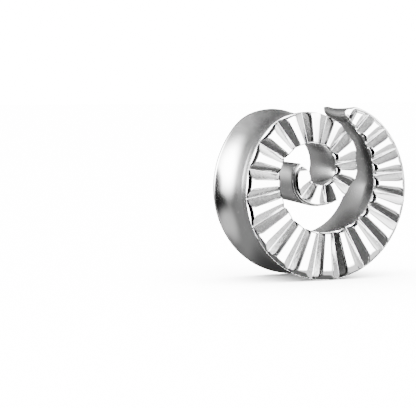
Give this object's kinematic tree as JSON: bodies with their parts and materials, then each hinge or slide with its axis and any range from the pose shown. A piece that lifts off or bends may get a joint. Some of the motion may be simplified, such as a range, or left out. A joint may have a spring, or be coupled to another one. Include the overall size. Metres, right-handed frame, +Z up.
{
  "type": "spiral ear plug",
  "caption": "Polished steel saddle plug for a stretched ear lobe: a flat band wound into an open spiral, with a fluted, petalled front face and a flared tunnel.",
  "frame": {"origin": "bottom centre of the plug's box, on the floor under the middle of the barrel; the barrel axis passes 12.1 mm above it", "axes": "+Z up, -Y out of the petalled front face, +Y along the barrel to the flat rear, +X to the right seen from the front"},
  "size_m": [0.0242, 0.0106, 0.0231],
  "materials": {
    "steel": "mirror-polished stainless steel, with a fine cast grain left in the grooves of the face"
  },
  "bodies": {
    "root": {"spiral_plug": "steel"}
  },
  "joints": []
}
